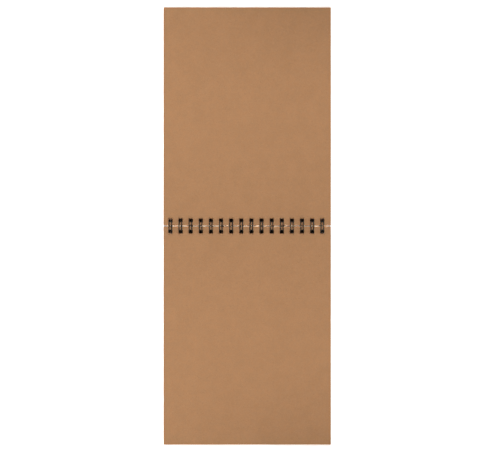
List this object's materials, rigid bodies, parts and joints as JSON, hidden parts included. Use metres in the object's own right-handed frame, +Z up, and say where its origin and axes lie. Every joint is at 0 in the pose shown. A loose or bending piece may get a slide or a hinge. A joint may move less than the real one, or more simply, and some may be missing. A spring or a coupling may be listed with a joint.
{
  "type": "sketchbook",
  "caption": "Top-bound sketchbook lying open: punched kraft leaves, card cover and back board turning on a black twin-loop binding wire.",
  "frame": {"origin": "on the table, straight below the middle of the open book and the binding's centre line", "axes": "+X along the binding, to the right when the book is read from above; +Y from the back-board half towards the turned half; +Z up from the table"},
  "size_m": [0.14, 0.366, 0.0121],
  "materials": {
    "kraft_paper": "matte",
    "cover_card": "matte",
    "binders_board": "matte",
    "black_wire": "satin"
  },
  "bodies": {
    "back_board": {"back_board": "binders_board"},
    "twin_loop_wire": {"twin_loop_wire": "black_wire"},
    "lower_leaf_15": {"lower_leaf_15": "kraft_paper"},
    "lower_leaf_14": {"lower_leaf_14": "kraft_paper"},
    "lower_leaf_13": {"lower_leaf_13": "kraft_paper"},
    "lower_leaf_12": {"lower_leaf_12": "kraft_paper"},
    "lower_leaf_11": {"lower_leaf_11": "kraft_paper"},
    "lower_leaf_10": {"lower_leaf_10": "kraft_paper"},
    "lower_leaf_09": {"lower_leaf_09": "kraft_paper"},
    "lower_leaf_08": {"lower_leaf_08": "kraft_paper"},
    "lower_leaf_07": {"lower_leaf_07": "kraft_paper"},
    "lower_leaf_06": {"lower_leaf_06": "kraft_paper"},
    "lower_leaf_05": {"lower_leaf_05": "kraft_paper"},
    "lower_leaf_04": {"lower_leaf_04": "kraft_paper"},
    "lower_leaf_03": {"lower_leaf_03": "kraft_paper"},
    "lower_leaf_02": {"lower_leaf_02": "kraft_paper"},
    "lower_leaf_01": {"lower_leaf_01": "kraft_paper"},
    "front_cover": {"front_cover": "cover_card"},
    "upper_leaf_01": {"upper_leaf_01": "kraft_paper"},
    "upper_leaf_02": {"upper_leaf_02": "kraft_paper"},
    "upper_leaf_03": {"upper_leaf_03": "kraft_paper"},
    "upper_leaf_04": {"upper_leaf_04": "kraft_paper"},
    "upper_leaf_05": {"upper_leaf_05": "kraft_paper"},
    "upper_leaf_06": {"upper_leaf_06": "kraft_paper"},
    "upper_leaf_07": {"upper_leaf_07": "kraft_paper"},
    "upper_leaf_08": {"upper_leaf_08": "kraft_paper"},
    "upper_leaf_09": {"upper_leaf_09": "kraft_paper"},
    "upper_leaf_10": {"upper_leaf_10": "kraft_paper"},
    "upper_leaf_11": {"upper_leaf_11": "kraft_paper"},
    "upper_leaf_12": {"upper_leaf_12": "kraft_paper"},
    "upper_leaf_13": {"upper_leaf_13": "kraft_paper"},
    "upper_leaf_14": {"upper_leaf_14": "kraft_paper"},
    "upper_leaf_15": {"upper_leaf_15": "kraft_paper"}
  },
  "joints": [
    {"name": "wire_roll", "type": "hinge", "parent": "back_board", "child": "twin_loop_wire", "pos_m": [0, 0, 0.00605], "axis": [1, 0, 0], "range_deg": [-5, 70]},
    {"name": "lower_leaf_15_turn", "type": "hinge", "parent": "back_board", "child": "lower_leaf_15", "pos_m": [0, 0, 0.00605], "axis": [-1, 0, 0], "range_deg": [0, 180]},
    {"name": "lower_leaf_14_turn", "type": "hinge", "parent": "lower_leaf_15", "child": "lower_leaf_14", "pos_m": [0, 0, 0.00605], "axis": [-1, 0, 0], "range_deg": [0, 180]},
    {"name": "lower_leaf_13_turn", "type": "hinge", "parent": "lower_leaf_14", "child": "lower_leaf_13", "pos_m": [0, 0, 0.00605], "axis": [-1, 0, 0], "range_deg": [0, 180]},
    {"name": "lower_leaf_12_turn", "type": "hinge", "parent": "lower_leaf_13", "child": "lower_leaf_12", "pos_m": [0, 0, 0.00605], "axis": [-1, 0, 0], "range_deg": [0, 180]},
    {"name": "lower_leaf_11_turn", "type": "hinge", "parent": "lower_leaf_12", "child": "lower_leaf_11", "pos_m": [0, 0, 0.00605], "axis": [-1, 0, 0], "range_deg": [0, 180]},
    {"name": "lower_leaf_10_turn", "type": "hinge", "parent": "lower_leaf_11", "child": "lower_leaf_10", "pos_m": [0, 0, 0.00605], "axis": [-1, 0, 0], "range_deg": [0, 180]},
    {"name": "lower_leaf_09_turn", "type": "hinge", "parent": "lower_leaf_10", "child": "lower_leaf_09", "pos_m": [0, 0, 0.00605], "axis": [-1, 0, 0], "range_deg": [0, 180]},
    {"name": "lower_leaf_08_turn", "type": "hinge", "parent": "lower_leaf_09", "child": "lower_leaf_08", "pos_m": [0, 0, 0.00605], "axis": [-1, 0, 0], "range_deg": [0, 180]},
    {"name": "lower_leaf_07_turn", "type": "hinge", "parent": "lower_leaf_08", "child": "lower_leaf_07", "pos_m": [0, 0, 0.00605], "axis": [-1, 0, 0], "range_deg": [0, 180]},
    {"name": "lower_leaf_06_turn", "type": "hinge", "parent": "lower_leaf_07", "child": "lower_leaf_06", "pos_m": [0, 0, 0.00605], "axis": [-1, 0, 0], "range_deg": [0, 180]},
    {"name": "lower_leaf_05_turn", "type": "hinge", "parent": "lower_leaf_06", "child": "lower_leaf_05", "pos_m": [0, 0, 0.00605], "axis": [-1, 0, 0], "range_deg": [0, 180]},
    {"name": "lower_leaf_04_turn", "type": "hinge", "parent": "lower_leaf_05", "child": "lower_leaf_04", "pos_m": [0, 0, 0.00605], "axis": [-1, 0, 0], "range_deg": [0, 180]},
    {"name": "lower_leaf_03_turn", "type": "hinge", "parent": "lower_leaf_04", "child": "lower_leaf_03", "pos_m": [0, 0, 0.00605], "axis": [-1, 0, 0], "range_deg": [0, 180]},
    {"name": "lower_leaf_02_turn", "type": "hinge", "parent": "lower_leaf_03", "child": "lower_leaf_02", "pos_m": [0, 0, 0.00605], "axis": [-1, 0, 0], "range_deg": [0, 180]},
    {"name": "lower_leaf_01_turn", "type": "hinge", "parent": "lower_leaf_02", "child": "lower_leaf_01", "pos_m": [0, 0, 0.00605], "axis": [-1, 0, 0], "range_deg": [0, 180]},
    {"name": "front_cover_turn", "type": "hinge", "parent": "back_board", "child": "front_cover", "pos_m": [0, 0, 0.00605], "axis": [1, 0, 0], "range_deg": [0, 180]},
    {"name": "upper_leaf_01_turn", "type": "hinge", "parent": "front_cover", "child": "upper_leaf_01", "pos_m": [0, 0, 0.00605], "axis": [1, 0, 0], "range_deg": [0, 180]},
    {"name": "upper_leaf_02_turn", "type": "hinge", "parent": "upper_leaf_01", "child": "upper_leaf_02", "pos_m": [0, 0, 0.00605], "axis": [1, 0, 0], "range_deg": [0, 180]},
    {"name": "upper_leaf_03_turn", "type": "hinge", "parent": "upper_leaf_02", "child": "upper_leaf_03", "pos_m": [0, 0, 0.00605], "axis": [1, 0, 0], "range_deg": [0, 180]},
    {"name": "upper_leaf_04_turn", "type": "hinge", "parent": "upper_leaf_03", "child": "upper_leaf_04", "pos_m": [0, 0, 0.00605], "axis": [1, 0, 0], "range_deg": [0, 180]},
    {"name": "upper_leaf_05_turn", "type": "hinge", "parent": "upper_leaf_04", "child": "upper_leaf_05", "pos_m": [0, 0, 0.00605], "axis": [1, 0, 0], "range_deg": [0, 180]},
    {"name": "upper_leaf_06_turn", "type": "hinge", "parent": "upper_leaf_05", "child": "upper_leaf_06", "pos_m": [0, 0, 0.00605], "axis": [1, 0, 0], "range_deg": [0, 180]},
    {"name": "upper_leaf_07_turn", "type": "hinge", "parent": "upper_leaf_06", "child": "upper_leaf_07", "pos_m": [0, 0, 0.00605], "axis": [1, 0, 0], "range_deg": [0, 180]},
    {"name": "upper_leaf_08_turn", "type": "hinge", "parent": "upper_leaf_07", "child": "upper_leaf_08", "pos_m": [0, 0, 0.00605], "axis": [1, 0, 0], "range_deg": [0, 180]},
    {"name": "upper_leaf_09_turn", "type": "hinge", "parent": "upper_leaf_08", "child": "upper_leaf_09", "pos_m": [0, 0, 0.00605], "axis": [1, 0, 0], "range_deg": [0, 180]},
    {"name": "upper_leaf_10_turn", "type": "hinge", "parent": "upper_leaf_09", "child": "upper_leaf_10", "pos_m": [0, 0, 0.00605], "axis": [1, 0, 0], "range_deg": [0, 180]},
    {"name": "upper_leaf_11_turn", "type": "hinge", "parent": "upper_leaf_10", "child": "upper_leaf_11", "pos_m": [0, 0, 0.00605], "axis": [1, 0, 0], "range_deg": [0, 180]},
    {"name": "upper_leaf_12_turn", "type": "hinge", "parent": "upper_leaf_11", "child": "upper_leaf_12", "pos_m": [0, 0, 0.00605], "axis": [1, 0, 0], "range_deg": [0, 180]},
    {"name": "upper_leaf_13_turn", "type": "hinge", "parent": "upper_leaf_12", "child": "upper_leaf_13", "pos_m": [0, 0, 0.00605], "axis": [1, 0, 0], "range_deg": [0, 180]},
    {"name": "upper_leaf_14_turn", "type": "hinge", "parent": "upper_leaf_13", "child": "upper_leaf_14", "pos_m": [0, 0, 0.00605], "axis": [1, 0, 0], "range_deg": [0, 180]},
    {"name": "upper_leaf_15_turn", "type": "hinge", "parent": "upper_leaf_14", "child": "upper_leaf_15", "pos_m": [0, 0, 0.00605], "axis": [1, 0, 0], "range_deg": [0, 180]}
  ]
}
